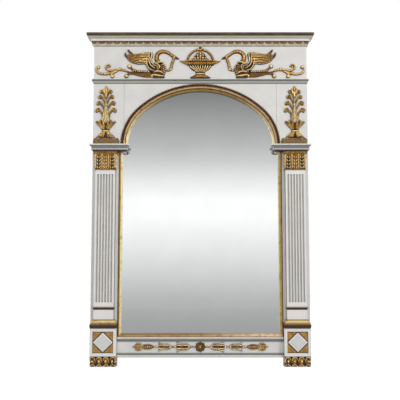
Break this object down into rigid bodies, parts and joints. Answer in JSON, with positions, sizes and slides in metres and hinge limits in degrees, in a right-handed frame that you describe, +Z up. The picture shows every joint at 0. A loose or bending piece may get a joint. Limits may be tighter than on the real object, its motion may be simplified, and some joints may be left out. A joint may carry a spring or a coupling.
{
  "type": "trumeau mirror",
  "caption": "Tall overmantel mirror with an arched glass between fluted pilasters, under a carved frieze and cornice, painted white with gilt ornament.",
  "frame": {"origin": "on the floor line, in the middle of the width and of the depth", "axes": "+X to the viewer's right, +Y back towards the wall, +Z up; the glass faces -Y"},
  "size_m": [1.107, 0.09, 1.6],
  "materials": {
    "white_painted_wood": "brushed off-white oil paint with slight wear, semi-matt",
    "gilt_wood": "antique gold leaf and bronze paint over brown bole, rubbed on the high points",
    "dark_gilt_wood": "darkened gilt over brown wood, satin",
    "bare_wood": "aged unfinished softwood",
    "mirror_glass": "silvered plate glass, clear",
    "steel": "zinc-plated steel"
  },
  "bodies": {
    "frame": {"anthemion_bases": "gilt_wood", "anthemion_left": "gilt_wood", "anthemion_right": "gilt_wood", "apron_beads": "white_painted_wood", "apron_rosette": "gilt_wood", "arch_moulding_left": "gilt_wood", "arch_moulding_right": "gilt_wood", "backboard": "bare_wood", "backboard_screws": "steel", "base_moulding_left": "gilt_wood", "base_moulding_right": "gilt_wood", "bottom_rail": "white_painted_wood", "capital_left": "gilt_wood", "capital_right": "gilt_wood", "cornice_cap": "dark_gilt_wood", "cornice_front": "white_painted_wood", "cornice_returns": "white_painted_wood", "diamond_left": "white_painted_wood", "diamond_right": "white_painted_wood", "foot_left": "gilt_wood", "foot_right": "gilt_wood", "frieze_band_front": "white_painted_wood", "frieze_band_returns": "white_painted_wood", "frieze_board": "white_painted_wood", "glazing_blocks": "bare_wood", "hanger_screws": "steel", "hanger_straps": "steel", "husk_chain_left": "gilt_wood", "husk_chain_right": "gilt_wood", "impost_left": "white_painted_wood", "impost_right": "white_painted_wood", "leaf_moulding_front": "gilt_wood", "leaf_moulding_returns": "gilt_wood", "mirror_glass": "mirror_glass", "plinth_left": "white_painted_wood", "plinth_panels": "gilt_wood", "plinth_right": "white_painted_wood", "rear_batten_bottom": "bare_wood", "rear_batten_left": "bare_wood", "rear_batten_middle": "bare_wood", "rear_batten_right": "bare_wood", "rear_batten_top": "bare_wood", "shaft_left": "white_painted_wood", "shaft_right": "white_painted_wood", "shaft_rings": "gilt_wood", "slip_bottom": "gilt_wood", "slip_left": "gilt_wood", "slip_right": "gilt_wood", "spandrel_left": "white_painted_wood", "spandrel_right": "white_painted_wood", "stile_left": "white_painted_wood", "stile_right": "white_painted_wood", "swan_left": "gilt_wood", "swan_right": "gilt_wood", "tail_scroll_left": "gilt_wood", "tail_scroll_right": "gilt_wood", "urn": "gilt_wood"},
    "left_ring": {"hanger_ring_left": "steel"},
    "right_ring": {"hanger_ring_right": "steel"}
  },
  "joints": [
    {"name": "left_ring_swing", "type": "hinge", "parent": "frame", "child": "left_ring", "pos_m": [-0.4605, 0.04058, 1.25], "axis": [1, 0, 0], "range_deg": [0, 165]},
    {"name": "right_ring_swing", "type": "hinge", "parent": "frame", "child": "right_ring", "pos_m": [0.4605, 0.04058, 1.25], "axis": [1, 0, 0], "range_deg": [0, 165]}
  ]
}
